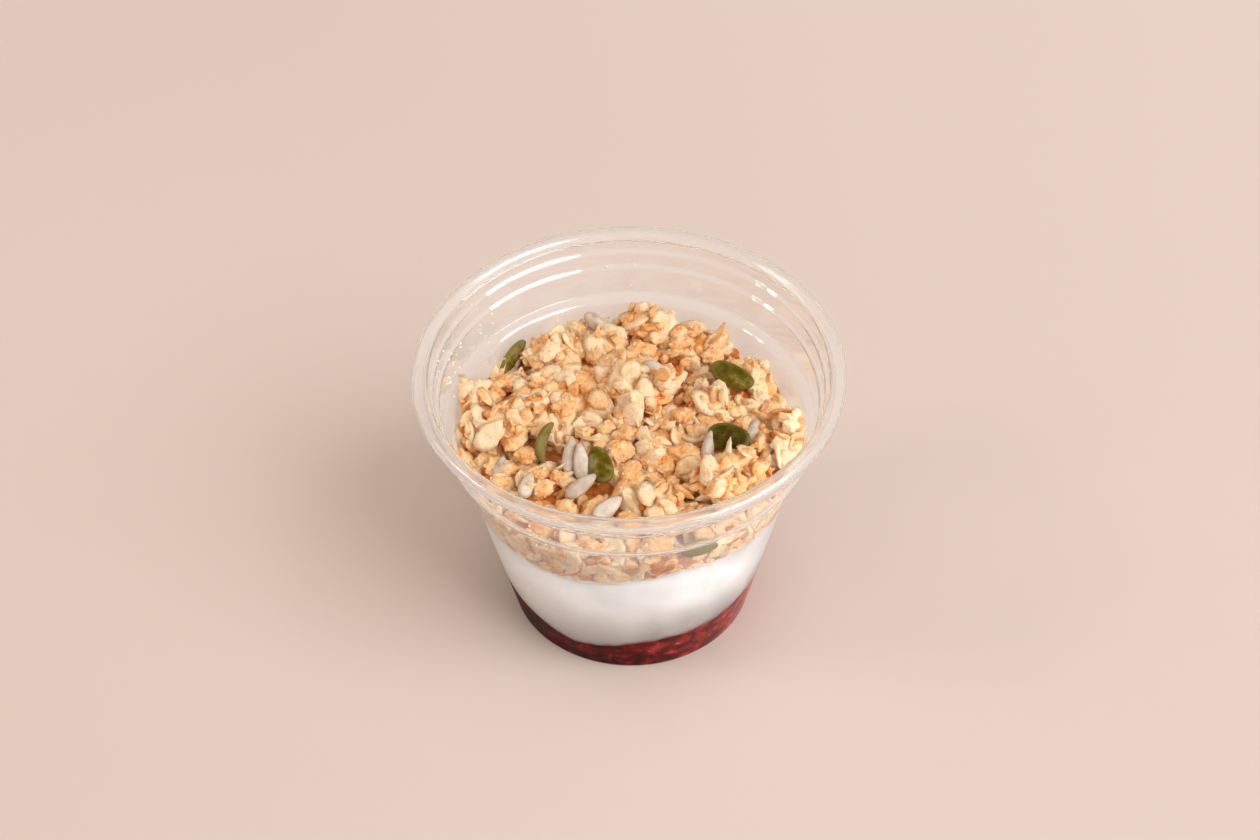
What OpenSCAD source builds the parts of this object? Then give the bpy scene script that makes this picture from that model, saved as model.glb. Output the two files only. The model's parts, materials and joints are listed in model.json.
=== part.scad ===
// A clear, lidless dessert pot filled in layers: fruit compote, yogurt and a heap of granola.
// Millimetres. The pot stands on z = 0 with its axis on the z axis and its front towards -y.

/* [Pot] */
// Diameter over the rolled rim
rim_d = 95; // [80:1:114]
// Height from the ground to the top of the rim
pot_h = 69.5; // [58:0.5:83]
// Diameter where the line of the tapered wall meets the ground
foot_d = 55.8; // [46.5:0.1:67]
// Thickness of the formed plastic
wall = 0.5; // [0.4:0.05:0.6]
// Diameter of the roll round the rim
bead_d = 3.6; // [3:0.1:4.3]
// How far round the roll is curled, in degrees
bead_turn = 290; // [240:5:300]

/* [Steps under the rim] */
// Depth of the upper ledge below the top of the rim
upper_ledge_drop = 4.5; // [3.8:0.1:5.4]
// Depth of the middle ledge below the top of the rim
middle_ledge_drop = 8.3; // [7:0.1:9.9]
// Depth of the shoulder below the top of the rim
shoulder_drop = 15.8; // [13.2:0.1:18.9]
// How far each ledge steps inwards
ledge_step = 0.8; // [0.6:0.1:1]
// How far each ledge falls across its width
ledge_fall = 0.8; // [0.6:0.1:1]
// How far the shoulder steps inwards
shoulder_step = 2.2; // [1.8:0.1:2.6]
// How far the shoulder falls across its width
shoulder_fall = 1; // [0.8:0.1:1.2]
// Draft of the upright bands between the ledges, millimetres in for each millimetre down
band_draft = 0.09; // [0.05:0.01:0.12]

/* [Foot] */
// Width of the flat ring that the pot stands on
foot_ring_w = 2.6; // [2.2:0.1:3.2]
// How far the middle of the base is pushed up
push_up = 1.5; // [1.2:0.1:1.8]
// Width of the slope between the foot ring and the raised middle
push_slope_w = 1.6; // [1.3:0.1:2]
// Radius of the bends in the plastic at the foot
foot_bend_r = 1; // [0.8:0.1:1.2]
// Radius of the bends in the plastic at the ledges
ledge_bend_r = 0.6; // [0.5:0.05:0.7]

/* [Layers] */
// Height of the compote's edge above the ground, where it is even
compote_top = 11.6; // [9.6:0.1:14]
// How much lower the compote is at its low spot
compote_dip = 3.6; // [0:0.1:4.4]
// How much higher the compote is at the right than at the front
compote_lean = 0.8; // [0:0.1:1]
// How far the compote climbs the wall at both sides
compote_climb = 2.2; // [0:0.1:2.7]
// Free height from the average top of the yogurt to the top of the rim
yogurt_drop = 30.3; // [25.3:0.1:36.3]
// Swell of the yogurt's edge above and below its average
yogurt_swell = 2.2; // [0:0.1:2.6]
// Depth of granola at the wall, on average
granola_depth = 9; // [7.5:0.1:10.8]
// Extra height of the heap at its middle
heap_dome = 3.2; // [0:0.1:4]
// How much higher the heap is at the left wall than at its middle
heap_lean = 0.5; // [0:0.1:0.6]
// Height of the clusters that stand out of the heap
cluster_h = 3; // [0:0.1:3.6]
// Height of the small unevenness all over the heap
heap_ripple = 0.8; // [0:0.1:1]
// Gap that keeps the food clear of the plastic
fit_gap = 0.02; // [0.01:0.01:0.05]

/* [Hidden] */

rim_r = rim_d / 2;
bead_r = bead_d / 2;
foot_r = foot_d / 2;

bend_steps = 4;    // straight pieces in a rounded bend
bead_step = 10;    // degrees between the points of the rolled rim
around = 64;       // sides of the food's faceted solids
across = 6;        // rings across the smooth surfaces inside the food
heap_across = 16;  // rings across the uneven top of the heap

// Lip: where the upright inner face of the pot meets the roll
lip_r = rim_r - bead_d;
lip_z = pot_h - bead_r;

// Upper, middle and lower bands, each with the draft of its own height
upper_z = pot_h - upper_ledge_drop;
upper_r = lip_r - band_draft * (lip_z - upper_z);
band2_r = upper_r - ledge_step;
band2_z = upper_z - ledge_fall;
middle_z = pot_h - middle_ledge_drop;
middle_r = band2_r - band_draft * (band2_z - middle_z);
band3_r = middle_r - ledge_step;
band3_z = middle_z - ledge_fall;
shoulder_z = pot_h - shoulder_drop;
shoulder_r = band3_r - band_draft * (band3_z - shoulder_z);

// The tapered wall, on the food's side, from the shoulder down to the foot
taper_top_z = shoulder_z - shoulder_fall;
taper_top_r = shoulder_r - shoulder_step;
taper = (taper_top_r + wall - foot_r) / taper_top_z;
function taper_r(z) = taper_top_r - taper * (taper_top_z - z);

// Base, on the food's side
floor_z = wall;
panel_z = wall + push_up;
floor_out_r = taper_r(floor_z);
floor_in_r = floor_out_r - foot_ring_w;
panel_r = floor_in_r - push_slope_w;

// Average levels of the food
yogurt_top = pot_h - yogurt_drop;
heap_edge = yogurt_top + granola_depth;

// ---- Bent outlines ----

function unit(v) = v / norm(v);
function left_of(v) = [-v[1], v[0]];
function turn_at(p, i) = let (a = unit(p[i] - p[i - 1]), b = unit(p[i + 1] - p[i]))
    atan2(a[0] * b[1] - a[1] * b[0], a * b);

// Points of one bend of radius r at corner i of an outline
function bend(p, i, r) =
    let (a = unit(p[i] - p[i - 1]), b = unit(p[i + 1] - p[i]), t = turn_at(p, i),
         side = sign(t), reach = r * tan(abs(t) / 2), start = p[i] - reach * a,
         mid = start + side * r * left_of(a))
    [for (k = [0 : bend_steps]) let (q = -side * left_of(a), s = t * k / bend_steps)
        mid + r * [q[0] * cos(s) - q[1] * sin(s), q[0] * sin(s) + q[1] * cos(s)]];

// An outline with all its inner corners bent, each to its own radius
function bent(p, radii) = concat([p[0]], [for (i = [1 : len(p) - 2]) each bend(p, i, radii[i])],
    [p[len(p) - 1]]);

// The same outline moved to its right by d, mitred at the corners
function beside(p, d) = [for (i = [0 : len(p) - 1])
    let (a = i == 0 ? p[1] - p[0] : p[i] - p[i - 1],
         b = i == len(p) - 1 ? a : p[i + 1] - p[i],
         n = unit(-left_of(unit(a)) - left_of(unit(b))))
    p[i] + d / (n * -left_of(unit(a))) * n];

function roll(r) = [for (s = [0 : bead_step : bead_turn])
    [rim_r - bead_r - r * cos(s), lip_z + r * sin(s)]];

// Food side of the pot from the middle of the base up to the lip, before bending
inner_corners = [[0, panel_z], [panel_r, panel_z], [floor_in_r, floor_z], [floor_out_r, floor_z],
    [taper_top_r, taper_top_z], [shoulder_r, shoulder_z], [band3_r, band3_z],
    [middle_r, middle_z], [band2_r, band2_z], [upper_r, upper_z], [lip_r, lip_z]];
bends = [for (i = [0 : len(inner_corners) - 1]) i < 4 ? foot_bend_r : ledge_bend_r];
inner_line = bent(inner_corners, bends);
outer_line = bent(beside(inner_corners, wall), bends);

// ---- Shapes of the layers ----
// Bearings run from the front, positive towards +x; share is 0 on the axis and 1 at the wall.

function bearing(i) = 360 * i / around;
function at(bearing, r, z) = [r * sin(bearing), -r * cos(bearing), z];
function food_r(z) = taper_r(z) - fit_gap;

// Nearest distance between two bearings
function apart(a, b) = abs((a - b + 540) % 360 - 180);
function hump(d, spread) = exp(-pow(d / spread, 2));

function compote_level(b, share) = compote_top
    - compote_dip * share * hump(apart(b, -28), 22)
    + compote_lean * share * sin(b)
    + compote_climb * share * pow(sin(b), 2)
    + 0.3 * share * sin(7 * b + 40);

function yogurt_level(b, share) = yogurt_top
    + yogurt_swell * share * cos(3 * (b - 25))
    + 0.4 * share * sin(7 * b);

// Clusters in the heap: bearing, share of the radius, share of cluster_h, spread
clusters = [[-103, 0.93, 1.3, 4.5], [-90, 0.93, 0.9, 4.5], [-92, 0.64, 0.9, 7],
    [-50, 0.7, 0.3, 8], [-150, 0.8, 0.7, 6], [-162, 0.93, 0.6, 5], [172, 0.93, 0.9, 4.5],
    [150, 0.85, 0.4, 6], [115, 0.75, 0.4, 7], [90, 0.95, 0.6, 5], [48, 0.68, 0.9, 7],
    [66, 0.85, 0.4, 6], [10, 0.7, 0.2, 8], [175, 0.45, 0.6, 8]];

function heap_level(b, share) =
    let (r = share * taper_r(heap_edge), x = r * sin(b), y = -r * cos(b))
    heap_edge
    + heap_dome * (1 - share * share)
    - heap_lean * share * sin(b)
    + heap_ripple * sin(31 * x) * sin(37 * y + 60)
    + cluster_h * max([for (c = clusters)
        let (cr = c[1] * taper_r(heap_edge), d = norm([x - cr * sin(c[0]), y + cr * cos(c[0])]))
        c[2] * hump(d, c[3])]);

// Rings of points across one level, from the wall inwards; the last ring is the axis point
function level_ring(kind, share) = [for (i = [0 : around - 1])
    let (b = bearing(i),
         z = kind == "compote" ? compote_level(b, share)
           : kind == "yogurt" ? yogurt_level(b, share) : heap_level(b, share))
    at(b, share * food_r(z), z)];
function level_rings(kind, n) = [for (k = [n : -1 : 1]) level_ring(kind, k / n)];
function reversed(list) = [for (i = [len(list) - 1 : -1 : 0]) list[i]];

// Rings of the compote's underside, which lies in the moulded base. The rings on the slope
// stand clear of its round face, and the rings at the foot stay inside the wall.
foot_line = [for (i = [1 : 3 * (bend_steps + 1)]) inner_line[i]];
floor_rings = [for (p = foot_line)
    let (on_slope = p[0] < (floor_in_r + floor_out_r) / 2,
         r = on_slope ? p[0] / cos(180 / around) : p[0] - fit_gap)
    [for (i = [0 : around - 1]) at(bearing(i), r, p[1])]];

// A closed solid from rings listed from the underside's middle, out, up and back in on top.
// The first "under" steps are cut into triangles the other way, like the top of the layer below.
module stack(rings, low_z, high_z, under = 0) {
    n = len(rings);
    low = n * around;
    high = low + 1;
    points = concat([for (ring = rings) each ring], [[0, 0, low_z], [0, 0, high_z]]);
    faces = concat(
        [for (i = [0 : around - 1]) let (j = (i + 1) % around) [low, i, j]],
        [for (k = [0 : n - 2], i = [0 : around - 1])
            let (j = (i + 1) % around, a = k * around, b = a + around)
            each k < under ? [[a + i, b + i, a + j], [a + j, b + i, b + j]]
                : [[a + i, b + i, b + j], [a + i, b + j, a + j]]],
        [for (i = [0 : around - 1]) let (j = (i + 1) % around, a = (n - 1) * around)
            [a + i, high, a + j]]);
    polyhedron(points, faces, convexity = 6);
}

// ---- Pieces ----

module pot() {
    color("aliceblue", 0.35)
    rotate_extrude($fn = 180)
    polygon(concat(inner_line, roll(bead_r), reversed(roll(bead_r - wall)),
        reversed([for (i = [0 : len(outer_line) - 2]) outer_line[i]])));
}

module compote() {
    color("#6e1220")
    stack(concat(floor_rings, level_rings("compote", across)), panel_z, compote_level(0, 0));
}

module yogurt() {
    color("#f6f1e9")
    stack(concat(reversed(level_rings("compote", across)), level_rings("yogurt", across)),
        compote_level(0, 0), yogurt_level(0, 0), across - 1);
}

module granola() {
    color("#e2b074")
    stack(concat(reversed(level_rings("yogurt", across)), level_rings("heap", heap_across)),
        yogurt_level(0, 0), heap_level(0, 0), across - 1);
}

pot();
compote();
yogurt();
granola();
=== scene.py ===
"""Looks of a clear dessert pot layered with fruit compote, yogurt and granola.

Metres, in the part's own frame: the pot stands on z = 0 with its axis on the z axis and its
front towards -y. Bearings are in degrees from the front, positive towards +x.
"""

import json
import math

import bmesh
import bpy
import numpy as np
from mathutils import Matrix, Vector
from mathutils.bvhtree import BVHTree

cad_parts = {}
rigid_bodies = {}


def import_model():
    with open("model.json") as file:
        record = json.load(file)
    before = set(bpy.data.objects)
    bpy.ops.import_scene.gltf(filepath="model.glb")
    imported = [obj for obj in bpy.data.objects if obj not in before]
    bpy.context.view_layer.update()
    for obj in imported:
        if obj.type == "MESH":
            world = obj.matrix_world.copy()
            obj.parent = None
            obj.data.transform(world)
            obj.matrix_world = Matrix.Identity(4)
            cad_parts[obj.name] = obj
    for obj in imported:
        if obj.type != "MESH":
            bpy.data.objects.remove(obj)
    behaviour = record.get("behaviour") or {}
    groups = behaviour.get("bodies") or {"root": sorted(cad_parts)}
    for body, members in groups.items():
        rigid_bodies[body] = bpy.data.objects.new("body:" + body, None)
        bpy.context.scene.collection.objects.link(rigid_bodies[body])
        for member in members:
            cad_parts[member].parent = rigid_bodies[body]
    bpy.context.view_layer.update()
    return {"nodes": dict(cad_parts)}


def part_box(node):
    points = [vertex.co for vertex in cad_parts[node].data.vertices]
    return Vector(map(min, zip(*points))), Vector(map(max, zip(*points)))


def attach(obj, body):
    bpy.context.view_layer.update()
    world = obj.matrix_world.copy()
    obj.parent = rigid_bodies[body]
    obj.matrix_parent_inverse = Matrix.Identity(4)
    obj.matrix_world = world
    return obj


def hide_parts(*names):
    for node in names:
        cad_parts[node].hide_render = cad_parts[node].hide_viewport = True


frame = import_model()

MM = 0.001
TAU = 2 * math.pi


# ---- Camera ----

def make_camera():
    """A 70 mm view from the front and above, rolled a little."""
    data = bpy.data.cameras.new("camera")
    data.lens = 70
    data.sensor_width = 36
    camera = bpy.data.objects.new("camera", data)
    bpy.context.scene.collection.objects.link(camera)
    place = Vector((0, -384.5, 441)) * MM
    aim = Vector((0.1, 0, 52.6)) * MM
    roll = math.radians(-0.84)
    turn = (aim - place).to_track_quat("-Z", "Y").to_matrix()
    camera.matrix_world = Matrix.Translation(place) @ (turn @ Matrix.Rotation(roll, 3, "Z")).to_4x4()
    bpy.context.scene.camera = camera


make_camera()


# ---- The pot's own sizes, from the frame and the same named steps as the solids ----

pot_low, pot_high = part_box("pot")
rim_r = pot_high.x
pot_h = pot_high.z
foot_r = 27.9 * MM
wall = 0.5 * MM
bead_r = 1.8 * MM
bead_turn = 290
upper_ledge_drop = 4.5 * MM
middle_ledge_drop = 8.3 * MM
shoulder_drop = 15.8 * MM
ledge_step = 0.8 * MM
ledge_fall = 0.8 * MM
shoulder_step = 2.2 * MM
shoulder_fall = 1 * MM
band_draft = 0.09
foot_ring_w = 2.6 * MM
push_up = 1.5 * MM
push_slope_w = 1.6 * MM
foot_bend_r = 1 * MM
ledge_bend_r = 0.6 * MM
shoulder_bend_r = 1.8 * MM

lip = (rim_r - 2 * bead_r, pot_h - bead_r)
upper_z = pot_h - upper_ledge_drop
upper = (lip[0] - band_draft * (lip[1] - upper_z), upper_z)
band2 = (upper[0] - ledge_step, upper_z - ledge_fall)
middle_z = pot_h - middle_ledge_drop
middle = (band2[0] - band_draft * (band2[1] - middle_z), middle_z)
band3 = (middle[0] - ledge_step, middle_z - ledge_fall)
shoulder_z = pot_h - shoulder_drop
shoulder = (band3[0] - band_draft * (band3[1] - shoulder_z), shoulder_z)
taper_top = (shoulder[0] - shoulder_step, shoulder_z - shoulder_fall)
taper = (taper_top[0] + wall - foot_r) / taper_top[1]
floor_z = wall
panel_z = wall + push_up


def taper_r(z):
    """Radius of the tapered wall's food side at height z."""
    return taper_top[0] - taper * (taper_top[1] - z)


floor_out_r = taper_r(floor_z)
floor_in_r = floor_out_r - foot_ring_w
inner_corners = [(0, panel_z), (floor_in_r - push_slope_w, panel_z), (floor_in_r, floor_z),
                 (floor_out_r, floor_z), taper_top, shoulder, band3, middle, band2, upper, lip]
bends = [foot_bend_r] * 4 + [shoulder_bend_r] + [ledge_bend_r] * 6
INNER_R = np.array([corner[0] for corner in inner_corners[3:]])
INNER_Z = np.array([corner[1] for corner in inner_corners[3:]])


def inside_r(z):
    """Radius of the pot's inner face at heights z, up to the lip."""
    return np.interp(z, INNER_Z, INNER_R)


# ---- Outlines and closed shells ----

def bent(corners, radii, steps):
    """An outline with each inner corner rounded, and a held edge beside each long straight."""
    pts = [np.array(c, float) for c in corners]
    out = [pts[0]]
    for i in range(1, len(pts) - 1):
        a = (pts[i] - pts[i - 1]) / np.linalg.norm(pts[i] - pts[i - 1])
        b = (pts[i + 1] - pts[i]) / np.linalg.norm(pts[i + 1] - pts[i])
        turn = math.atan2(a[0] * b[1] - a[1] * b[0], a @ b)
        left = np.array((-a[1], a[0])) * math.copysign(1, turn)
        reach = radii[i] * math.tan(abs(turn) / 2)
        start = pts[i] - reach * a
        middle_of_bend = start + radii[i] * left
        for k in range(steps + 1):
            s = turn * k / steps
            q = -left
            out.append(middle_of_bend + radii[i] * np.array(
                (q[0] * math.cos(s) - q[1] * math.sin(s), q[0] * math.sin(s) + q[1] * math.cos(s))))
    out.append(pts[-1])
    return held(out, 0.12 * MM)


def held(points, reach):
    """Adds a point close to each end of every long straight, so that smooth shading stays true."""
    out = [points[0]]
    for a, b in zip(points, points[1:]):
        length = np.linalg.norm(b - a)
        if length > 5 * reach:
            out += [a + (b - a) * reach / length, b - (b - a) * reach / length]
        out.append(b)
    return out


def beside(corners, d):
    """The outline moved to its right by d, mitred at the corners."""
    pts = [np.array(c, float) for c in corners]
    out = []
    for i, p in enumerate(pts):
        a = p - pts[i - 1] if i else pts[1] - pts[0]
        b = pts[i + 1] - p if i < len(pts) - 1 else a
        na = np.array((a[1], -a[0])) / np.linalg.norm(a)
        nb = np.array((b[1], -b[0])) / np.linalg.norm(b)
        n = (na + nb) / np.linalg.norm(na + nb)
        out.append(p + d / (n @ na) * n)
    return out


def rolled(r, step=7.25):
    """The rolled rim, from the lip over the top and round underneath."""
    return [np.array((rim_r - bead_r - r * math.cos(math.radians(s)),
                      lip[1] + r * math.sin(math.radians(s))))
            for s in np.arange(0, bead_turn + 0.1, step)]


def mesh_object(name, verts, faces, smooth=True):
    """A mesh object at the origin from plain lists."""
    mesh = bpy.data.meshes.new(name)
    mesh.from_pydata([tuple(v) for v in verts], [], [tuple(f) for f in faces])
    mesh.validate()
    if smooth:
        mesh.shade_smooth()
    piece = bpy.data.objects.new(name, mesh)
    bpy.context.scene.collection.objects.link(piece)
    return piece


def stacked(name, rings, low, high):
    """A closed solid from rings of points: out from the underside's middle, up, and in on top."""
    around = len(rings[0])
    verts = np.concatenate([np.concatenate(rings), [low, high]])
    low_i = len(rings) * around
    faces = [((i + 1) % around, i, low_i) for i in range(around)]
    for k in range(len(rings) - 1):
        a = k * around
        b = a + around
        faces += [(a + (i + 1) % around, b + (i + 1) % around, b + i, a + i) for i in range(around)]
    a = (len(rings) - 1) * around
    faces += [(a + (i + 1) % around, low_i + 1, a + i) for i in range(around)]
    return mesh_object(name, verts, faces)


# ---- Random fields ----

GRAIN = 32


def field(points, size, seed):
    """A smooth random field from -1 to 1 with features of about the given size."""
    table = np.random.default_rng(seed).uniform(-1, 1, (GRAIN, GRAIN, GRAIN))
    p = np.asarray(points) / size + 100.37
    cell = np.floor(p).astype(int)
    t = p - cell
    t = t * t * (3 - 2 * t)
    total = 0
    for corner in np.ndindex(2, 2, 2):
        weight = np.prod(np.where(np.array(corner) == 1, t, 1 - t), axis=-1)
        i, j, k = np.moveaxis((cell + np.array(corner)) % GRAIN, -1, 0)
        total = total + weight * table[i, j, k]
    return total


# ---- Geometry Nodes helpers ----

def new_tree(name, sizes):
    """An empty tree with a geometry in and out and one named input for each size."""
    tree = bpy.data.node_groups.new(name, "GeometryNodeTree")
    tree.interface.new_socket("Geometry", in_out="INPUT", socket_type="NodeSocketGeometry")
    for label, kind in sizes:
        tree.interface.new_socket(label, in_out="INPUT", socket_type=kind)
    tree.interface.new_socket("Geometry", in_out="OUTPUT", socket_type="NodeSocketGeometry")
    return tree


def baked(piece, tree, values):
    """Runs the tree on a piece with these values, and leaves the result as the piece's plain mesh."""
    modifier = piece.modifiers.new(tree.name, "NODES")
    modifier.node_group = tree
    for item in tree.interface.items_tree:
        if item.in_out == "INPUT" and item.name in values:
            modifier[item.identifier] = values[item.name]
    piece.update_tag()
    bpy.context.view_layer.update()
    graph = bpy.context.evaluated_depsgraph_get()
    mesh = bpy.data.meshes.new_from_object(piece.evaluated_get(graph))
    piece.modifiers.remove(modifier)
    piece.data = mesh
    keep_one_material(mesh)
    return piece


def keep_one_material(mesh):
    """Drops the empty slots that joined shapes leave behind."""
    used = [m for m in mesh.materials if m]
    mesh.materials.clear()
    for material in used[:1]:
        mesh.materials.append(material)
    mesh.polygons.foreach_set("material_index", np.zeros(len(mesh.polygons), np.int32))


class Tree:
    """Short calls to add and join nodes."""

    def __init__(self, nodes, links):
        self.nodes, self.links = nodes, links

    def add(self, kind, inputs=None, **settings):
        node = self.nodes.new(kind)
        for key, value in settings.items():
            setattr(node, key, value)
        for key, value in (inputs or {}).items():
            if isinstance(value, bpy.types.NodeSocket):
                self.links.new(value, node.inputs[key])
            else:
                node.inputs[key].default_value = value
        return node


def turned_tree():
    """Turns the outline held in the piece's own points round the z axis into a closed shell."""
    tree = new_tree("turned", [("Sides", "NodeSocketInt"), ("Points", "NodeSocketInt"),
                               ("Material", "NodeSocketMaterial")])
    t = Tree(tree.nodes, tree.links)
    given = t.add("NodeGroupInput").outputs
    columns = t.add("ShaderNodeMath", {0: given["Sides"], 1: 1}, operation="ADD").outputs[0]
    grid = t.add("GeometryNodeMeshGrid", {"Vertices X": columns, "Vertices Y": given["Points"]})
    index = t.add("GeometryNodeInputIndex").outputs[0]
    row = t.add("ShaderNodeMath", {0: index, 1: given["Points"]}, operation="MODULO").outputs[0]
    share = t.add("ShaderNodeMath", {0: index, 1: given["Points"]}, operation="DIVIDE").outputs[0]
    column = t.add("ShaderNodeMath", {0: share}, operation="FLOOR").outputs[0]
    turn = t.add("ShaderNodeMath", {0: column, 1: TAU}, operation="MULTIPLY").outputs[0]
    angle = t.add("ShaderNodeMath", {0: turn, 1: given["Sides"]}, operation="DIVIDE").outputs[0]
    sample = t.add("GeometryNodeSampleIndex", {"Geometry": given["Geometry"], "Index": row},
                   data_type="FLOAT_VECTOR", domain="POINT")
    place = t.add("GeometryNodeInputPosition").outputs[0]
    tree.links.new(place, sample.inputs["Value"])
    spun = t.add("ShaderNodeVectorRotate", {"Vector": sample.outputs[0], "Angle": angle},
                 rotation_type="Z_AXIS")
    moved = t.add("GeometryNodeSetPosition", {"Geometry": grid.outputs["Mesh"],
                                              "Position": spun.outputs[0]})
    closed = t.add("GeometryNodeMergeByDistance", {"Geometry": moved.outputs[0], "Distance": 1e-6})
    outward = t.add("GeometryNodeFlipFaces", {"Mesh": closed.outputs[0]})
    smooth = t.add("GeometryNodeSetShadeSmooth", {"Geometry": outward.outputs[0]})
    real = t.add("GeometryNodeRealizeInstances", {"Geometry": smooth.outputs[0]})
    done = t.add("GeometryNodeSetMaterial", {"Geometry": real.outputs[0],
                                             "Material": given["Material"]})
    t.add("NodeGroupOutput", {0: done.outputs[0]})
    return tree


def scatter_tree():
    """Lays the shapes of a collection over a surface, each turned, leaned and sized at random."""
    tree = new_tree("scatter", [
        ("Shapes", "NodeSocketCollection"), ("Spacing", "NodeSocketFloat"),
        ("Density", "NodeSocketFloat"), ("Smallest", "NodeSocketFloat"),
        ("Largest", "NodeSocketFloat"), ("Lean", "NodeSocketFloat"), ("Sink", "NodeSocketFloat"),
        ("Seed", "NodeSocketInt"), ("Material", "NodeSocketMaterial")])
    t = Tree(tree.nodes, tree.links)
    given = t.add("NodeGroupInput").outputs
    spread = t.add("GeometryNodeDistributePointsOnFaces", {
        "Mesh": given["Geometry"], "Distance Min": given["Spacing"],
        "Density Max": given["Density"], "Seed": given["Seed"]}, distribute_method="POISSON")
    back = t.add("ShaderNodeMath", {0: given["Lean"], 1: -1}, operation="MULTIPLY").outputs[0]
    low = t.add("ShaderNodeCombineXYZ", {0: back, 1: back, 2: -math.pi}).outputs[0]
    high = t.add("ShaderNodeCombineXYZ", {0: given["Lean"], 1: given["Lean"], 2: math.pi}).outputs[0]
    turn = t.add("FunctionNodeRandomValue", {"Min": low, "Max": high, "Seed": given["Seed"]},
                 data_type="FLOAT_VECTOR").outputs["Value"]
    local = t.add("FunctionNodeEulerToRotation", {0: turn}).outputs[0]
    facing = t.add("FunctionNodeRotateRotation", {0: spread.outputs["Rotation"], 1: local},
                   rotation_space="LOCAL").outputs[0]
    size = t.add("FunctionNodeRandomValue", {2: given["Smallest"], 3: given["Largest"],
                                             "Seed": given["Seed"]}, data_type="FLOAT").outputs[1]
    shapes = t.add("GeometryNodeCollectionInfo", {"Collection": given["Shapes"],
                                                  "Separate Children": True,
                                                  "Reset Children": True})
    pick = t.add("FunctionNodeRandomValue", {4: 0, 5: 999, "Seed": given["Seed"]},
                 data_type="INT").outputs[2]
    put = t.add("GeometryNodeInstanceOnPoints", {
        "Points": spread.outputs["Points"], "Instance": shapes.outputs[0], "Pick Instance": True,
        "Instance Index": pick, "Rotation": facing, "Scale": size})
    down = t.add("ShaderNodeMath", {0: given["Sink"], 1: -1}, operation="MULTIPLY").outputs[0]
    depth = t.add("ShaderNodeCombineXYZ", {2: down}).outputs[0]
    sunk = t.add("GeometryNodeTranslateInstances", {"Instances": put.outputs[0],
                                                    "Translation": depth})
    tone = t.add("FunctionNodeRandomValue", {2: 0.0, 3: 1.0, "Seed": given["Seed"]},
                 data_type="FLOAT").outputs[1]
    toned = t.add("GeometryNodeStoreNamedAttribute", {"Geometry": sunk.outputs[0], "Name": "tone",
                                                      "Value": tone},
                  data_type="FLOAT", domain="INSTANCE")
    real = t.add("GeometryNodeRealizeInstances", {"Geometry": toned.outputs[0]})
    done = t.add("GeometryNodeSetMaterial", {"Geometry": real.outputs[0],
                                             "Material": given["Material"]})
    t.add("NodeGroupOutput", {0: done.outputs[0]})
    return tree


# ---- Finishes ----

PLASTIC_IOR = 1.5
PLASTIC_ROUGHNESS = 0.03


def srgb(code):
    """A hex colour as linear RGBA."""
    values = [int(code[i:i + 2], 16) / 255 for i in (1, 3, 5)]
    return tuple(v / 12.92 if v <= 0.04045 else ((v + 0.055) / 1.055) ** 2.4 for v in values) + (1,)


def finish_of(name):
    """A new material with its Principled shader, and short calls for its nodes."""
    material = bpy.data.materials.new(name)
    material.use_nodes = True
    t = Tree(material.node_tree.nodes, material.node_tree.links)
    return material, t, t.nodes["Principled BSDF"]


def places(t):
    """The sockets of the object's own x, y and z."""
    return t.add("ShaderNodeSeparateXYZ", {0: t.add("ShaderNodeTexCoord").outputs["Object"]}).outputs


def carried(t, label):
    """The socket of a number that the mesh carries at each point."""
    return t.add("ShaderNodeAttribute", attribute_name=label).outputs["Fac"]


def weighed(t, value, weight, rest):
    """value x weight + rest."""
    return t.add("ShaderNodeMath", {0: value, 1: weight, 2: rest}, operation="MULTIPLY_ADD").outputs[0]


def between(t, value, low, high, at_low=0.0, at_high=1.0):
    """Runs from at_low to at_high while the value goes from low to high, and no further."""
    return t.add("ShaderNodeMapRange", {"Value": value, "From Min": low, "From Max": high,
                                        "To Min": at_low, "To Max": at_high}).outputs[0]


def glowing(shader, weight, radius):
    """Light that wanders under the skin, by this share and over these radii."""
    shader.inputs["Subsurface Weight"].default_value = weight
    shader.inputs["Subsurface Radius"].default_value = radius
    shader.inputs["Subsurface Scale"].default_value = 1.0


def ramp(t, factor, stops, interpolation="LINEAR"):
    """A colour ramp over a factor, from (position, colour) stops."""
    node = t.add("ShaderNodeValToRGB", {0: factor})
    node.color_ramp.interpolation = interpolation
    elements = node.color_ramp.elements
    for i, (position, colour) in enumerate(stops):
        e = elements[i] if i < 2 else elements.new(position)
        e.position = position
        e.color = srgb(colour) if isinstance(colour, str) else (colour, colour, colour, 1)
    return node.outputs[0]


def noise(t, scale, detail=3, roughness=0.5, vector=None, distortion=0.0):
    """Noise over the object's own coordinates."""
    if vector is None:
        vector = t.add("ShaderNodeTexCoord").outputs["Object"]
    return t.add("ShaderNodeTexNoise", {"Vector": vector, "Scale": scale, "Detail": detail,
                                        "Roughness": roughness, "Distortion": distortion}).outputs[0]


def bump(t, shader, height, distance, strength=1.0):
    """Relief of the shader's surface."""
    node = t.add("ShaderNodeBump", {"Height": height, "Distance": distance, "Strength": strength})
    t.links.new(node.outputs[0], shader.inputs["Normal"])


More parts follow.
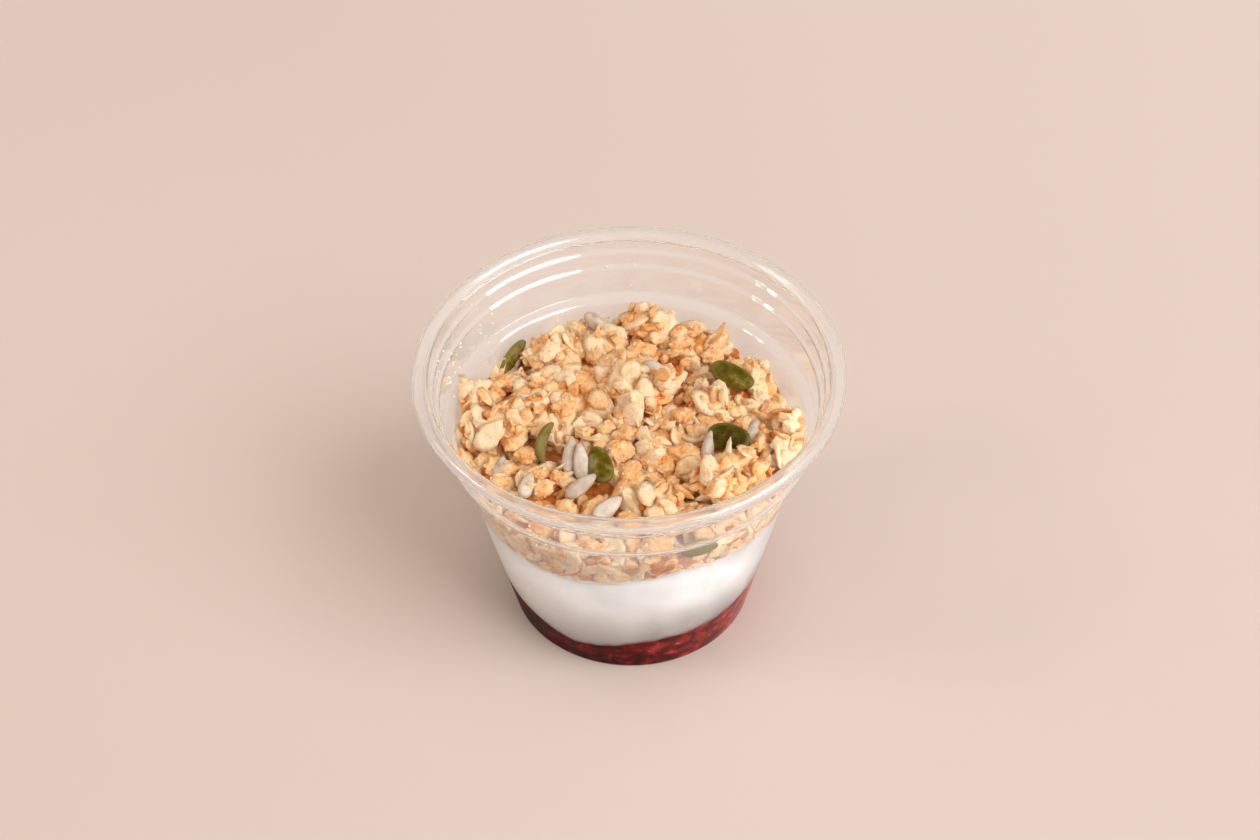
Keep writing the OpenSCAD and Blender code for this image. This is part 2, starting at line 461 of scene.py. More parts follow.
def clear_plastic():
    """Formed clear sheet: a thin haze above the foot, a duller rim, and less reflection at the foot.

    Shadow rays, and rays caught in the roll, pass straight on.
    """
    material, t, shader = finish_of("clear_plastic")
    shader.inputs["Base Color"].default_value = (0.985, 0.985, 0.98, 1)
    shader.inputs["IOR"].default_value = PLASTIC_IOR
    shader.inputs["Transmission Weight"].default_value = 1.0
    bump(t, shader, noise(t, 90, 2), 0.00004, 0.05)
    place = places(t)
    height = place[2]
    rim = between(t, height, pot_h - 4 * MM, pot_h - 2 * MM)
    t.links.new(weighed(t, rim, 0.1, PLASTIC_ROUGHNESS), shader.inputs["Roughness"])

    near_foot = between(t, height, 0.014, 0.034, 0.75, 0.0)
    inside = t.add("ShaderNodeNewGeometry").outputs["Backfacing"]
    outside = t.add("ShaderNodeMath", {0: 1.0, 1: inside}, operation="SUBTRACT").outputs[0]
    dull = t.add("ShaderNodeMath", {0: near_foot, 1: outside}, operation="MULTIPLY").outputs[0]
    side = between(t, place[0], 0.0, 0.028, 1.0, 0.45)
    dull = t.add("ShaderNodeMath", {0: dull, 1: side}, operation="MULTIPLY").outputs[0]
    bent_only = t.add("ShaderNodeBsdfRefraction", {"Roughness": PLASTIC_ROUGHNESS,
                                                   "IOR": PLASTIC_IOR}).outputs[0]
    sheet = t.add("ShaderNodeMixShader", {0: dull, 1: shader.outputs[0], 2: bent_only}).outputs[0]

    share = between(t, height, 0.016, 0.044, 0.0, 0.085)
    thinner = weighed(t, rim, -0.6, 1.0)
    share = t.add("ShaderNodeMath", {0: share, 1: thinner}, operation="MULTIPLY").outputs[0]
    white = t.add("ShaderNodeBsdfDiffuse", {"Color": (0.9, 0.875, 0.865, 1)}).outputs[0]
    hazy = t.add("ShaderNodeMixShader", {0: share, 1: sheet, 2: white}).outputs[0]

    path = t.add("ShaderNodeLightPath").outputs
    veil = t.add("ShaderNodeMix", {"Factor": path["Is Shadow Ray"], 6: (1, 1, 1, 1),
                                   7: (0.94, 0.94, 0.935, 1)}, data_type="RGBA").outputs[2]
    passing = t.add("ShaderNodeBsdfTransparent", {0: veil}).outputs[0]
    caught = t.add("ShaderNodeMath", {0: path["Ray Depth"], 1: 8.5},
                   operation="GREATER_THAN").outputs[0]
    past = t.add("ShaderNodeMath", {0: path["Is Shadow Ray"], 1: caught}, operation="MAXIMUM").outputs[0]
    mix = t.add("ShaderNodeMixShader", {0: past, 1: hazy, 2: passing})
    t.links.new(mix.outputs[0], t.nodes["Material Output"].inputs[0])
    return material


def cooked_fruit():
    """Compote: dark wet red, with painted light making it lighter towards +x, the lit side, and brighter
    bits of flesh.
    """
    material, t, shader = finish_of("cooked_fruit")
    flesh = noise(t, 260, 4, 0.6, distortion=0.6)
    bits = between(t, noise(t, 700, 2, 0.5), 0.62, 0.72, 0.0, 0.14)
    # painted light: the compote's colour is made lighter towards +x, the side the window lights
    flesh_and_painted_light = weighed(t, places(t)[0], 5.0, flesh)
    flesh_and_painted_light = t.add("ShaderNodeMath", {0: flesh_and_painted_light, 1: bits}, operation="ADD").outputs[0]
    colour = ramp(t, flesh_and_painted_light, [(0.3, "#2b0506"), (0.5, "#580b0b"), (0.64, "#951d1a"), (0.8, "#cc5a52")])
    t.links.new(colour, shader.inputs["Base Color"])
    shader.inputs["Roughness"].default_value = 0.4
    shader.inputs["Specular IOR Level"].default_value = 0.0
    glowing(shader, 0.15, (0.002, 0.0004, 0.0004))
    bump(t, shader, flesh, 0.0004, 0.6)
    return material


def set_yogurt():
    """White yogurt with painted shade that darkens it towards +x, stained pink in a thin uneven line where
    it meets the fruit.
    """
    material, t, shader = finish_of("set_yogurt")
    cloud_and_painted_light = weighed(t, noise(t, 70, 3, 0.5), 0.4, 0.3)
    # painted shade: the yogurt's colour is made darker towards +x, the side the window lights
    cloud_and_painted_light = weighed(t, places(t)[0], -5.0, cloud_and_painted_light)
    white = ramp(t, cloud_and_painted_light, [(0.3, "#c8c4c2"), (0.5, "#efebe9"), (0.65, "#f5f2f0")])
    near = weighed(t, noise(t, 300, 3, 0.6), 0.05, carried(t, "fruit"))
    stain = between(t, near, 0.985, 1.03, 0.0, 0.85)
    colour = t.add("ShaderNodeMix", {"Factor": stain, 6: white, 7: srgb("#b9706c")}, data_type="RGBA")
    t.links.new(colour.outputs[2], shader.inputs["Base Color"])
    shader.inputs["Roughness"].default_value = 0.5
    shader.inputs["Specular IOR Level"].default_value = 0.0
    glowing(shader, 0.4, (0.003, 0.0026, 0.0022))
    return material


def baked_oats(name, stops, shift=0.0):
    """Golden oats: each piece has its own tone, with browner spots and a fine crumb."""
    material, t, shader = finish_of(name)
    patch = noise(t, 380, 4, 0.65)
    fine = noise(t, 1500, 3, 0.6)
    mixed = weighed(t, carried(t, "tone"), 0.45, shift)
    mixed = weighed(t, patch, 0.9, mixed)
    mixed = weighed(t, fine, 0.25, mixed)
    colour = ramp(t, mixed, list(zip((0.42, 0.58, 0.74, 0.92), stops)))
    t.links.new(colour, shader.inputs["Base Color"])
    shader.inputs["Roughness"].default_value = 0.62
    glowing(shader, 0.3, (0.0016, 0.0008, 0.0003))
    bump(t, shader, weighed(t, patch, 1.5, fine), 0.0005, 0.8)
    return material


def kernel_finish(name, inner, outer, stripes, roughness, gloss):
    """A kernel's skin: its own tone, a mottle, faint stripes along it and a paler edge."""
    material, t, shader = finish_of(name)
    mottle = noise(t, 420, 3, 0.55)
    lines = t.add("ShaderNodeMath", {0: carried(t, "across"), 1: stripes}, operation="MULTIPLY").outputs[0]
    lines = t.add("ShaderNodeMath", {0: lines}, operation="SINE").outputs[0]
    mixed = weighed(t, carried(t, "tone"), 0.6, mottle)
    mixed = weighed(t, lines, 0.02, mixed)
    margin = between(t, carried(t, "edge"), 0.72, 0.97, 0.0, 0.75)
    colour = t.add("ShaderNodeMix", {"Factor": margin, 6: ramp(t, mixed, inner), 7: srgb(outer)},
                   data_type="RGBA")
    t.links.new(colour.outputs[2], shader.inputs["Base Color"])
    shader.inputs["Roughness"].default_value = roughness
    shader.inputs["Specular IOR Level"].default_value = gloss
    bump(t, shader, mottle, 0.0002, 0.4)
    return material


# ---- Pot ----

SHELL_SIDES = 384
inner_line = bent(inner_corners, bends, 5)
outer_line = bent(beside(inner_corners, wall), bends, 5)
outer_line[0] = np.array((0.0, panel_z - wall))
pot_line = inner_line[:-1] + rolled(bead_r) + rolled(bead_r - wall)[::-1] + outer_line[:-1][::-1]
pot = mesh_object("pot_shell", [(p[0], 0, p[1]) for p in pot_line], [])
baked(pot, turned_tree(), {"Sides": SHELL_SIDES, "Points": len(pot_line), "Material": clear_plastic()})
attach(pot, "root")
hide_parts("pot")


# ---- Layers ----

def surface_of(node):
    """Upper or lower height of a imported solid, straight above or below any point of the plan."""
    mesh = frame["nodes"][node].data
    tree = BVHTree.FromPolygons([v.co for v in mesh.vertices], [p.vertices for p in mesh.polygons])

    def heights(x, y, under=False):
        out = np.empty(len(x))
        for i, (a, b) in enumerate(zip(x, y)):
            start = Vector((a, b, -1 if under else 1))
            hit = tree.ray_cast(start, Vector((0, 0, 1 if under else -1)))[0]
            out[i] = hit.z if hit else np.nan
        return out
    return heights


AROUND = 240
BITE = 0.12 * MM          # how far the food reaches into the plastic, so that no air gap shows
bearings = np.radians(np.arange(AROUND) * 360 / AROUND)
SIN, COS = np.sin(bearings), np.cos(bearings)


def interface(node, reach, across, roughness, seed):
    """Rings of a layer's top, from the wall inwards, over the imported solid's own surface."""
    sample = surface_of(node)
    rings = []
    for k in range(across, 0, -1):
        share = k / across
        z = sample(SIN * share * reach, -COS * share * reach)
        r = share * taper_r(z)
        spots = np.stack([r * SIN, -r * COS, z], 1)
        z = z + roughness * share * (field(spots, 3.2 * MM, seed) + 0.6 * field(spots, 1.3 * MM, seed + 1))
        r = share * (taper_r(z) + BITE)
        rings.append(np.stack([r * SIN, -r * COS, z], 1))
    return rings


def level_ring(r, z):
    return np.stack([r * SIN, -r * COS, np.full(AROUND, z)], 1)


FOOT_TOP = floor_z + 1.3 * MM       # just over the bend from the floor to the tapered wall
floor_mid_r = (floor_in_r + floor_out_r) / 2
low_line = [p for p in inner_line if p[0] > 0 and (p[1] < FOOT_TOP or p[1] == panel_z)]
floor_rings = [level_ring(p[0] + (-BITE if p[0] < floor_mid_r else BITE), p[1] - BITE)
               for p in low_line]
compote_top = interface("compote", 28.6 * MM, 14, 0.35 * MM, 11)
yogurt_top = interface("yogurt", 35.3 * MM, 14, 0.3 * MM, 21)

compote_mid = (0, 0, compote_top[-1][:, 2].mean())
yogurt_mid = (0, 0, yogurt_top[-1][:, 2].mean())

compote = stacked("compote_layer", floor_rings + compote_top, (0, 0, panel_z - BITE), compote_mid)
compote.data.materials.append(cooked_fruit())
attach(compote, "root")
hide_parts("compote")

yogurt = stacked("yogurt_layer", compote_top[::-1] + yogurt_top, compote_mid, yogurt_mid)
stained = yogurt.data.attributes.new("fruit", "FLOAT", "POINT")
stained.data.foreach_set("value", [1.0] * (AROUND * len(compote_top))
                         + [0.0] * (AROUND * len(yogurt_top)) + [1.0, 0.0])
yogurt.data.materials.append(set_yogurt())
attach(yogurt, "root")
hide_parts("yogurt")


# ---- Granola ----

HEAP_SINK = 2.7 * MM      # how far the core lies under the heap's outline
HEAP_R = 37 * MM          # the heap's outline can be read this far out
CORE_RINGS = 64
CORE_SIDE_RINGS = 14
heap_height = surface_of("granola")


def clear_of_wall(points, reach=0.03 * MM):
    """Presses whatever would pass through the pot's wall against it, the furthest a little deeper."""
    r = np.hypot(points[:, 0], points[:, 1])
    most = inside_r(points[:, 2]) + reach
    past = np.maximum(r - most, 0)
    pressed = most + np.minimum(0.03 * past, 0.04 * MM)
    squeeze = np.where(past > 0, pressed / np.maximum(r, 1e-9), 1.0)
    points[:, :2] *= squeeze[:, None]
    return points


def press_in(piece):
    """The same for every point of a piece's mesh."""
    co = np.empty(len(piece.data.vertices) * 3)
    piece.data.vertices.foreach_get("co", co)
    piece.data.vertices.foreach_set("co", clear_of_wall(co.reshape(-1, 3)).ravel())
    piece.data.update()


def make_core():
    """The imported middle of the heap: its top and side carry the clusters' relief."""
    def relief(points, seed):
        return 0.9 * field(points, 7 * MM, seed) + 0.7 * field(points, 3 * MM, seed + 1) + (
            0.35 * field(points, 1.3 * MM, seed + 2))

    edge_z = heap_height(SIN * 37.4 * MM, -COS * 37.4 * MM) - 0.6 * HEAP_SINK
    foot = yogurt_top[0][:, 2] - 0.3 * MM
    rings = [ring - (0, 0, 0.4 * MM) for ring in yogurt_top[::-1]]
    for k in range(CORE_SIDE_RINGS + 1):
        z = foot + (edge_z - foot) * k / CORE_SIDE_RINGS
        r = taper_r(z)
        spots = np.stack([r * SIN, -r * COS, z], 1)
        r = np.minimum(r - 0.75 * MM + 0.9 * MM * relief(spots, 31), r + BITE)
        rings.append(np.stack([r * SIN, -r * COS, z], 1))
    edge = np.hypot(rings[-1][:, 0], rings[-1][:, 1])
    for k in range(CORE_RINGS - 1, 0, -1):
        share = k / CORE_RINGS
        x, y = SIN * edge * share, -COS * edge * share
        z = heap_height(np.clip(x, -HEAP_R, HEAP_R), np.clip(y, -HEAP_R, HEAP_R))
        z = np.where(np.isnan(z), edge_z, z) - HEAP_SINK
        z += 1.1 * MM * relief(np.stack([x, y, z], 1), 41) * min(1, 12 * (1 - share))
        rings.append(np.stack([x, y, z], 1))
    return stacked("granola_core", rings, rings[0].mean(0), rings[-1].mean(0))


def ico(levels):
    """Points and faces of a ball of radius 1."""
    bm = bmesh.new()
    bmesh.ops.create_icosphere(bm, subdivisions=levels, radius=1)
    verts = np.array([v.co for v in bm.verts])
    faces = [[v.index for v in f.verts] for f in bm.faces]
    bm.free()
    return verts, faces


def lump(name, levels, sizes, rough, seed):
    """An uneven lump: a ball swelled and dented by noise, and a fine ball by finer noise too."""
    verts, faces = ico(levels)
    fine = levels > 2
    swell = 1 + rough * field(verts, 0.9, seed) + 0.5 * rough * field(verts, 0.38, seed + 1)
    if fine:
        swell += 0.35 * rough * field(verts, 0.16, seed + 2)
        swell += 0.22 * rough * field(verts, 0.08, seed + 3)
    return mesh_object(name, verts * swell[:, None] * np.array(sizes), faces, fine)


def flake_shape(name, length, width, thick, seed):
    """A rolled oat: an egg-shaped flake with a ragged edge, a crease down its middle and a curl."""
    rng = np.random.default_rng(seed)
    n = 12
    angle = np.arange(n) * TAU / n
    ragged = 1 + rng.uniform(-0.1, 0.1, n)

    def ring(share, z):
        x = 0.5 * length * np.cos(angle) * ragged * share
        y = 0.5 * width * np.sin(angle) * ragged * share * (1 - 0.18 * np.cos(angle))
        return np.stack([x, y, np.full(n, z) + rng.uniform(-0.12, 0.12, n) * thick], 1)

    middles = [(0, 0, 0.3 * thick), (0, 0, -0.5 * thick)]
    verts = np.concatenate([ring(1, 0), ring(0.6, 0.5 * thick), ring(0.6, -0.5 * thick), middles])
    curl, twist = rng.uniform(-0.5, 1.1), rng.uniform(-0.8, 0.8)
    u, v = verts[:, 0] / (0.5 * length), verts[:, 1] / (0.5 * width)
    verts[:, 2] += thick * (0.9 * curl * u * u + twist * u * v + 0.5 * curl * v * v)
    faces = []
    for i in range(n):
        j = (i + 1) % n
        faces += [(i, j, n + j, n + i), (n + i, n + j, 3 * n),
                  (j, i, 2 * n + i, 2 * n + j), (2 * n + j, 2 * n + i, 3 * n + 1)]
    return mesh_object(name, verts, faces)


def shapes_in(name, pieces):
    """A collection of shapes to scatter, kept out of the scene."""
    group = bpy.data.collections.new(name)
    for piece in pieces:
        for owner in list(piece.users_collection):
            owner.objects.unlink(piece)
        group.objects.link(piece)
    return group


def joined_copy(name, pieces, clearings=()):
    """One mesh with the faces of several pieces, without those whose middle lies in a clearing."""
    verts, faces = [], []
    for piece in pieces:
        start = len(verts)
        verts += [tuple(v.co) for v in piece.data.vertices]
        middles = np.array([p.center for p in piece.data.polygons])
        kept = np.ones(len(middles), bool)
        for x, y, r in clearings:
            kept &= (middles[:, 0] - x) ** 2 + (middles[:, 1] - y) ** 2 > r * r
        faces += [[start + i for i in piece.data.polygons[k].vertices] for k in np.flatnonzero(kept)]
    return mesh_object(name, verts, faces)


def scattered(name, ground, shapes, finish, slot, **values):
    """A piece of many small things laid over the ground, clear of the kernels."""
    piece = joined_copy(name, ground, CLEARINGS)
    named = {key.replace("_", " ").capitalize(): value for key, value in values.items()}
    baked(piece, SCATTER, {"Shapes": shapes, "Material": finish, **named})
    press_in(piece)
    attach(piece, "root")
    return piece


# ---- Kernels ----
# x, y and lift over the heap's outline; way the long axis points; way the flat face looks;
# length, width, thickness, curl and tone

PUMPKIN = [
    (-6.6, -13.4, 1.3, (-0.21, 1, 0.1), (0, -0.3, 1), 10.0, 5.7, 2.6, 0.3, 0.6),
    (21.9, -5.7, 2.1, (1, -0.1, -0.12), (0, -0.6, 0.8), 9.8, 6.2, 2.8, 0.3, 0.15),
    (23.5, 14.0, 1.8, (0.9, -0.3, -0.3), (0.1, -0.5, 0.85), 10.6, 5.6, 2.6, 0.5, 0.5),
    (-26.9, 24.2, -0.4, (0.52, 0.66, 0.57), (-0.9, 0.2, -0.3), 10.5, 4.6, 2.4, -0.3, 0.75),
    (-18.8, -6.9, 1.9, (0.25, 0.75, 0.6), (0.9, -0.35, 0.1), 9.4, 4.6, 2.0, 1.0, 0.85),
    (14.6, -34.9, 0.9, (0.93, 0.37, -0.3), (0.37, -0.93, 0.1), 9.0, 4.6, 2.2, 0.3, 1.2),
    (31.5, 20.0, -5.0, (-0.5, 0.86, 0.2), (0.86, 0.5, 0), 10.2, 6.2, 2.4, 0.3, 0.4),
    (-6.0, 37.0, -4.5, (0.98, 0.1, 0.1), (0, 1, 0), 10.6, 6.4, 2.4, 0.3, 0.5)]
SUNFLOWER = [
    (-13.2, -10.2, 1.4, (0.1, 0.85, 0.45), (0, -0.5, 0.85), 8.6, 3.4, 2.2, 0.2, 0.45),
    (-10.7, -12.6, 1.4, (-0.1, 0.85, 0.45), (0.2, -0.5, 0.85), 9.0, 3.6, 2.2, 0.2, 0.6),
    (-10.7, -19.4, 1.0, (0.8, 0.5, 0.32), (-0.2, -0.5, 0.85), 8.0, 3.4, 2.0, 0.2, 0.35),
    (-5.0, -25.6, 1.3, (0.78, 0.52, 0.3), (-0.2, -0.5, 0.85), 7.6, 3.8, 2.2, 0.2, 0.8),
    (6.3, 16.0, 0.8, (0.92, -0.32, -0.2), (0, -0.5, 0.85), 6.6, 3.2, 2.0, 0.2, 0.5),
    (-7.2, 32.8, 1.2, (0.7, -0.5, -0.5), (-0.2, -0.6, 0.75), 7.6, 3.4, 2.0, 0.2, 0.4),
    (17.4, -8.2, 0.9, (0.15, 0.8, 0.55), (0.8, -0.4, 0.4), 8.0, 3.6, 2.0, 0.2, 0.4),
    (-28.6, -12.2, -0.1, (0.2, 0.7, 0.6), (0.4, -0.6, 0.6), 6.0, 3.2, 2.0, 0.2, 0.3),
    (-22.6, -18.2, 0.1, (0.3, 0.8, 0.4), (0.2, -0.5, 0.8), 6.0, 3.2, 2.0, 0.2, 0.5),
    (27.6, -1.4, -0.4, (0.3, 0.7, 0.5), (0.2, -0.5, 0.8), 6.5, 3.2, 2.0, 0.2, 0.4),
    (-31.0, 20.5, -4.0, (0.5, 0.8, 0.3), (-0.83, 0.55, 0), 9.0, 4.2, 2.2, 0.2, 0.5),
    (30.0, 22.0, -2.5, (-0.6, 0.75, -0.3), (0.8, 0.6, 0), 9.0, 4.2, 2.2, 0.2, 0.5)]

# Round spots under the kernels that lie on top, where nothing is scattered: x, y and radius
CLEARINGS = [((x + share * length * way[0]) * MM, (y + share * length * way[1]) * MM,
              (0.5 * width - 0.3) * MM)
             for x, y, lift, way, look, length, width, thick, curl, tone in PUMPKIN + SUNFLOWER
             for share in (-0.32, 0, 0.32) if lift > 0]


def kernel_points(length, width, thick, taper, curl):
    """A flat kernel along x: points, faces, nearness to the outline and share of the half width."""
    steps, sides = 13, 20
    phi = np.arange(sides) * TAU / sides
    rows = []
    for k in range(1, steps):
        s = -math.cos(math.pi * k / steps)
        half = math.sqrt(1 - abs(s) ** 2.2) * (1 - taper * s)
        y = 0.5 * width * half * np.cos(phi)
        z = 0.5 * thick * half ** 0.6 * np.sign(np.sin(phi)) * np.abs(np.sin(phi)) ** 0.75
        rows.append(np.stack([np.full(sides, 0.5 * length * s), y, z], 1))
    points = np.concatenate(rows + [[(-0.5 * length, 0, 0), (0.5 * length, 0, 0)]])
    u, v = 2 * points[:, 0] / length, 2 * points[:, 1] / width
    edge = np.sqrt(np.minimum(1, np.abs(u) ** 2.2 + v * v))
    points[:, 2] += 0.36 * thick * curl * (2 * u * u - 1)
    last = (steps - 1) * sides
    faces = []
    for i in range(sides):
        j = (i + 1) % sides
        faces += [(last, j, i), (last - sides + i, last - sides + j, last + 1)]
        faces += [(k * sides + i, k * sides + j, (k + 1) * sides + j, (k + 1) * sides + i)
                  for k in range(steps - 2)]
    return points, faces, edge, v


def make_kernels(name, table, taper, finish):
    """One piece of kernels, each laid on the heap its own way."""
    verts, faces, edges, across, tones = [], [], [], [], []
    for x, y, lift, way, look, length, width, thick, curl, tone in table:
        points, sides, edge, aside = kernel_points(length, width, thick, taper, curl)
        a = np.array(way) / np.linalg.norm(way)
        f = look - (np.array(look) @ a) * a
        f /= np.linalg.norm(f)
        z = heap_height([x * MM], [y * MM])[0] / MM + lift
        start = sum(len(known) for known in verts)
        verts.append((points @ np.array([a, np.cross(f, a), f]) + (x, y, z)) * MM)
        faces += [[start + i for i in side] for side in sides]
        edges.append(edge)
        across.append(aside)
        tones.append(np.full(len(points), tone))
    piece = mesh_object(name, clear_of_wall(np.concatenate(verts), 0.08 * MM), faces)
    for label, values in (("edge", edges), ("across", across), ("tone", tones)):
        attribute = piece.data.attributes.new(label, "FLOAT", "POINT")
        attribute.data.foreach_set("value", np.concatenate(values))
    piece.data.materials.append(finish)
    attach(piece, "root")


# Clusters that stand out of the heap: x, y, lift over the heap, three half sizes, heading
CLUSTERS = [
    (-33.5, 8.5, -0.4, (4.2, 3.4, 3.0), 20), (-32.5, 2.5, -0.2, (5.0, 4.2, 3.4), 70),
    (-25.5, 0.5, 0.2, (6.4, 5.2, 3.0), 10), (-14.5, 11.0, 0.0, (9.0, 6.5, 2.8), 35),
    (2.0, 11.0, 0.0, (8.0, 6.0, 2.6), -15), (19.0, -18.3, 0.4, (5.0, 3.6, 2.9), 30),
    (24.5, -11.0, 0.8, (4.6, 2.4, 2.2), 35), (18.5, 7.5, 0.3, (4.6, 4.2, 2.8), -40),
    (36.0, -1.5, 0.2, (3.6, 4.8, 3.0), 10), (4.5, 33.0, 0.8, (5.4, 4.0, 3.6), 0),
    (-5.0, 29.0, 0.2, (5.0, 4.2, 2.8), 30), (14.5, 27.5, 0.0, (5.2, 4.0, 2.6), -30),
    (28.0, 18.0, 0.2, (4.0, 3.2, 2.6), 60), (6.0, -22.0, 0.0, (5.0, 3.6, 2.4), 0),
    (-17.0, 24.0, 0.2, (4.8, 4.0, 2.8), 40), (6.0, -6.0, -0.4, (6.0, 4.6, 2.6), 60)]


def bedded(part, x, y, lift, heading, lean=0.0):
    """Lays a lump on the heap at x and y, lifted over its outline, all in millimetres."""
    z = heap_height([x * MM], [y * MM])[0] / MM + lift
    part.data.transform(Matrix.Translation((x * MM, y * MM, z * MM)) @ Matrix.Rotation(
        heading, 4, "Z") @ Matrix.Rotation(lean, 4, "X") @ Matrix.Scale(MM, 4))
    return part


def merged(name, parts):
    """One piece in place of many."""
    piece = joined_copy(name, parts)
    for part in parts:
        bpy.data.objects.remove(part)
    press_in(piece)
    return piece


def make_clusters():
    """The large clusters."""
    return merged("granola_clusters", [
        bedded(lump("cluster", 5, sizes, 0.3, 60 + 3 * i), x, y, lift - 1.2, math.radians(heading))
        for i, (x, y, lift, sizes, heading) in enumerate(CLUSTERS)])


def make_nuggets(count=95, apart=4.4, margin=1.2, reach=35.5):
    """Middling lumps between the clusters, clear of the kernels."""
    rng = np.random.default_rng(23)
    spots = []
    for _ in range(4000):
        x, y = rng.uniform(-36, 36, 2)
        free = all(math.hypot(x - a / MM, y - b / MM) > r / MM + margin for a, b, r in CLEARINGS)
        alone = all(math.hypot(x - a, y - b) > apart for a, b in spots)
        if free and alone and math.hypot(x, y) < reach:
            spots.append((x, y))
    parts = []
    for i, (x, y) in enumerate(spots[:count]):
        size = rng.uniform(1.5, 2.9)
        sizes = (size * rng.uniform(1.0, 1.5), size, size * rng.uniform(0.55, 0.85))
        parts.append(bedded(lump("nugget", 4, sizes, 0.42, 500 + 4 * i), x, y, rng.uniform(-1.3, 0.1),
                            rng.uniform(0, TAU), rng.uniform(-0.5, 0.5)))
    return merged("granola_nuggets", parts)


SCATTER = scatter_tree()
oats = baked_oats("baked_oats", ("#b85716", "#e99748", "#f9c488", "#fddcb4"), -0.03)
crumbly = baked_oats("crumbly_oats", ("#cb7430", "#f1ac66", "#f9ca94", "#fddfba"), 0.1)
# Darker, browner oats for the core, which shows only in the gaps between pieces: partly toasted colour,
# partly painted shade of those crevices
toasted_and_shaded = baked_oats("toasted_shaded_oats", ("#a04c12", "#c66c20", "#dd8a40", "#ecb070"), 0.06)

core = make_core()
core.data.materials.append(toasted_and_shaded)
clusters = make_clusters()
clusters.data.materials.append(crumbly)
nuggets = make_nuggets()
nuggets.data.materials.append(crumbly)
for piece in (core, clusters, nuggets):
    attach(piece, "root")
    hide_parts("granola")

rng = np.random.default_rng(5)
flakes = shapes_in("flake_shapes", [
    flake_shape("flake", rng.uniform(5.2, 7.6) * MM, rng.uniform(3.6, 4.8) * MM,
                rng.uniform(0.7, 1.1) * MM, 200 + i) for i in range(7)])
chunks = shapes_in("chunk_shapes", [
    lump("chunk", 2, rng.uniform((1.9, 1.3, 1.0), (2.8, 1.9, 1.5)) * MM, 0.4, 300 + 3 * i)
    for i in range(8)])
crumbs = shapes_in("crumb_shapes", [
    lump("crumb", 1, rng.uniform((0.45, 0.35, 0.3), (0.65, 0.5, 0.4)) * MM, 0.5, 400 + 3 * i)
    for i in range(5)])

chunk_piece = scattered("granola_chunks", [core, clusters], chunks, oats, "granola", spacing=2.2 * MM,
                        density=250000.0, smallest=0.35, largest=1.5, lean=1.4, sink=0.2 * MM, seed=3)
scattered("oat_flakes", [core, clusters, chunk_piece], flakes, oats, "granola",
          spacing=3.1 * MM, density=140000.0, smallest=0.5, largest=1.3, lean=0.9,
          sink=0.0, seed=7)
scattered("granola_crumbs", [clusters, nuggets, chunk_piece], crumbs, crumbly, "granola",
          spacing=1.2 * MM, density=600000.0, smallest=0.3, largest=0.8, lean=3.1,
          sink=0.05 * MM, seed=9)

pumpkin_skin = kernel_finish(
    "pumpkin_skin", [(0.45, "#2a2003"), (0.6, "#3f3204"), (0.86, "#655607"), (1.0, "#8a7c4c")],
    "#7a6e32", 26, 0.3, 0.12)
sunflower_skin = kernel_finish(
    "sunflower_skin", [(0.5, "#a08976"), (0.66, "#bfaa96"), (0.84, "#cfbeab"), (1.0, "#decfbe")],
    "#b89d8b", 9, 0.5, 0.3)
make_kernels("pumpkin_kernels", PUMPKIN, 0.1, pumpkin_skin)
make_kernels("sunflower_kernels", SUNFLOWER, 0.3, sunflower_skin)
for group in (flakes, chunks, crumbs):
    for shape in list(group.objects):
        bpy.data.objects.remove(shape)
    bpy.data.collections.remove(group)


# ---- Specks ----
# Small crumbs that cling to the inner wall, in groups: bearing, height, how far the group
# spreads round and up, and how many

SPECKS = [(-112, 58, 16, 7, 34), (-134, 58.6, 4, 1.5, 3), (-172.8, 61.3, 1.2, 0.5, 2),
          (178, 61.2, 0.8, 0.4, 1), (178.2, 56, 1, 0.6, 2), (-156, 51.5, 3, 1, 4),
          (-35, 50, 25, 3, 14), (60, 51, 20, 3, 8)]


def make_specks():
    """One piece of pale specks pressed on the wall above the heap."""
    rng = np.random.default_rng(17)
    ball, sides = ico(1)
    verts, faces = [], []
    for bearing, height, wide, tall, count in SPECKS:
        for _ in range(count):
            b = math.radians(bearing + wide * rng.uniform(-1, 1))
            z = (height + tall * rng.uniform(-1, 1)) * MM
            size = rng.uniform(0.14, 0.34) * MM
            outward = np.array((math.sin(b), -math.cos(b), 0))
            spot = outward * (inside_r(z) - 0.4 * size) + (0, 0, z)
            faces += [[len(ball) * len(verts) + i for i in side] for side in sides]
            verts.append(spot + ball * size * rng.uniform(0.7, 1.2, 3))
    specks = mesh_object("crumb_specks", np.concatenate(verts), faces)
    material, t, shader = finish_of("pale_crumb")
    shader.inputs["Base Color"].default_value = srgb("#fbe9d6")
    shader.inputs["Roughness"].default_value = 0.5
    specks.data.materials.append(material)
    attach(specks, "root")


make_specks()


# ---- Stage ----

PATH_BOUNCES = 24         # the roll of the rim turns light many times


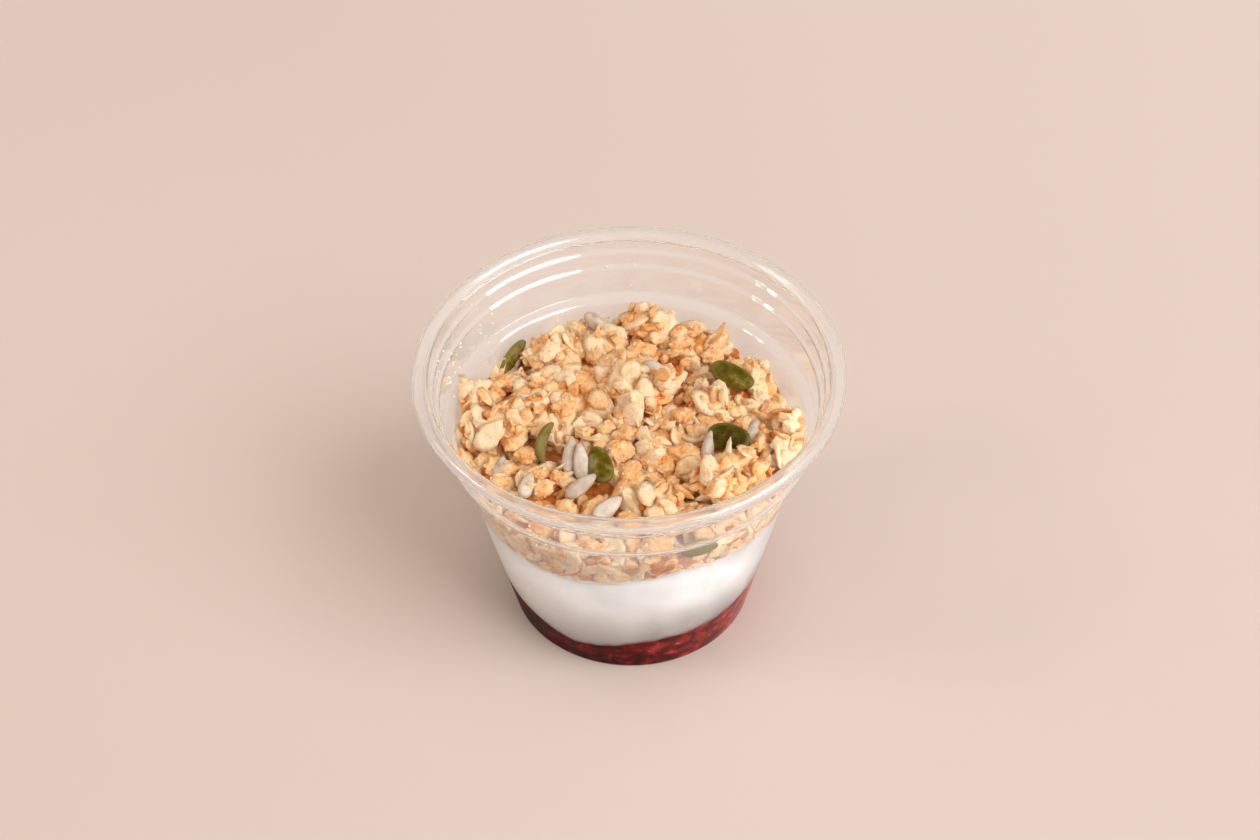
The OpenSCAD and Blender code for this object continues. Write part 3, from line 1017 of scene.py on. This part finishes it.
def area_light(name, place, aim, size_x, size_y, power, colour):
    """A rectangular lamp at a place, facing what it aims at."""
    data = bpy.data.lights.new(name, "AREA")
    data.shape = "RECTANGLE"
    data.size, data.size_y = size_x, size_y
    data.energy = power
    data.color = colour
    lamp = bpy.data.objects.new(name, data)
    bpy.context.scene.collection.objects.link(lamp)
    lamp.matrix_world = Matrix.Translation(place) @ (
        (Vector(aim) - Vector(place)).to_track_quat("-Z", "Y").to_matrix().to_4x4())


def make_stage():
    """A floor with painted light that makes it lighter towards +x and the back, one large window, two
    narrow panes and a room that is brighter low down.
    """
    corners = [(-3, -3, 0), (3, -3, 0), (3, 3, 0), (-3, 3, 0)]
    floor = mesh_object("floor", corners, [(0, 1, 2, 3)], False)
    material, t, shader = finish_of("pale_floor")
    place = places(t)
    # painted light: the floor is made lighter towards +x and +y, over its random tone
    cloud_and_painted_light = weighed(t, place[0], 1.0, noise(t, 1.5, 2))
    cloud_and_painted_light = weighed(t, place[1], 0.6, cloud_and_painted_light)
    colour = ramp(t, cloud_and_painted_light, [(0.2, "#d6c4b9"), (1.0, "#e6d5ca")])
    t.links.new(colour, shader.inputs["Base Color"])
    shader.inputs["Roughness"].default_value = 0.75
    shader.inputs["Specular IOR Level"].default_value = 0.2
    floor.data.materials.append(material)
    area_light("window", (2.35, -1.35, 2.05), (0, 0, 0.04), 2.6, 2.0, 100, (0.9, 0.95, 0.99))
    area_light("left_pane", (-1.3, -0.05, 0.8), (0, 0, 0.05), 0.1, 0.3, 2.0, (1, 0.95, 0.9))
    area_light("right_pane", (-1.3, -0.27, 0.8), (0, 0, 0.05), 0.1, 0.3, 2.0, (1, 0.95, 0.9))
    world = bpy.data.worlds.new("room")
    bpy.context.scene.world = world
    world.use_nodes = True
    t = Tree(world.node_tree.nodes, world.node_tree.links)
    background = t.nodes["Background"]
    background.inputs[0].default_value = (1.0, 0.875, 0.775, 1)
    way = t.add("ShaderNodeTexCoord").outputs["Generated"]
    rise = t.add("ShaderNodeSeparateXYZ", {0: way}).outputs[2]
    t.links.new(between(t, rise, 0.0, 0.6, 0.84, 0.58), background.inputs[1])


make_stage()
bpy.context.scene.view_settings.view_transform = "Standard"
for kind in ("max_bounces", "glossy_bounces", "transmission_bounces", "transparent_max_bounces"):
    setattr(bpy.context.scene.cycles, kind, PATH_BOUNCES)
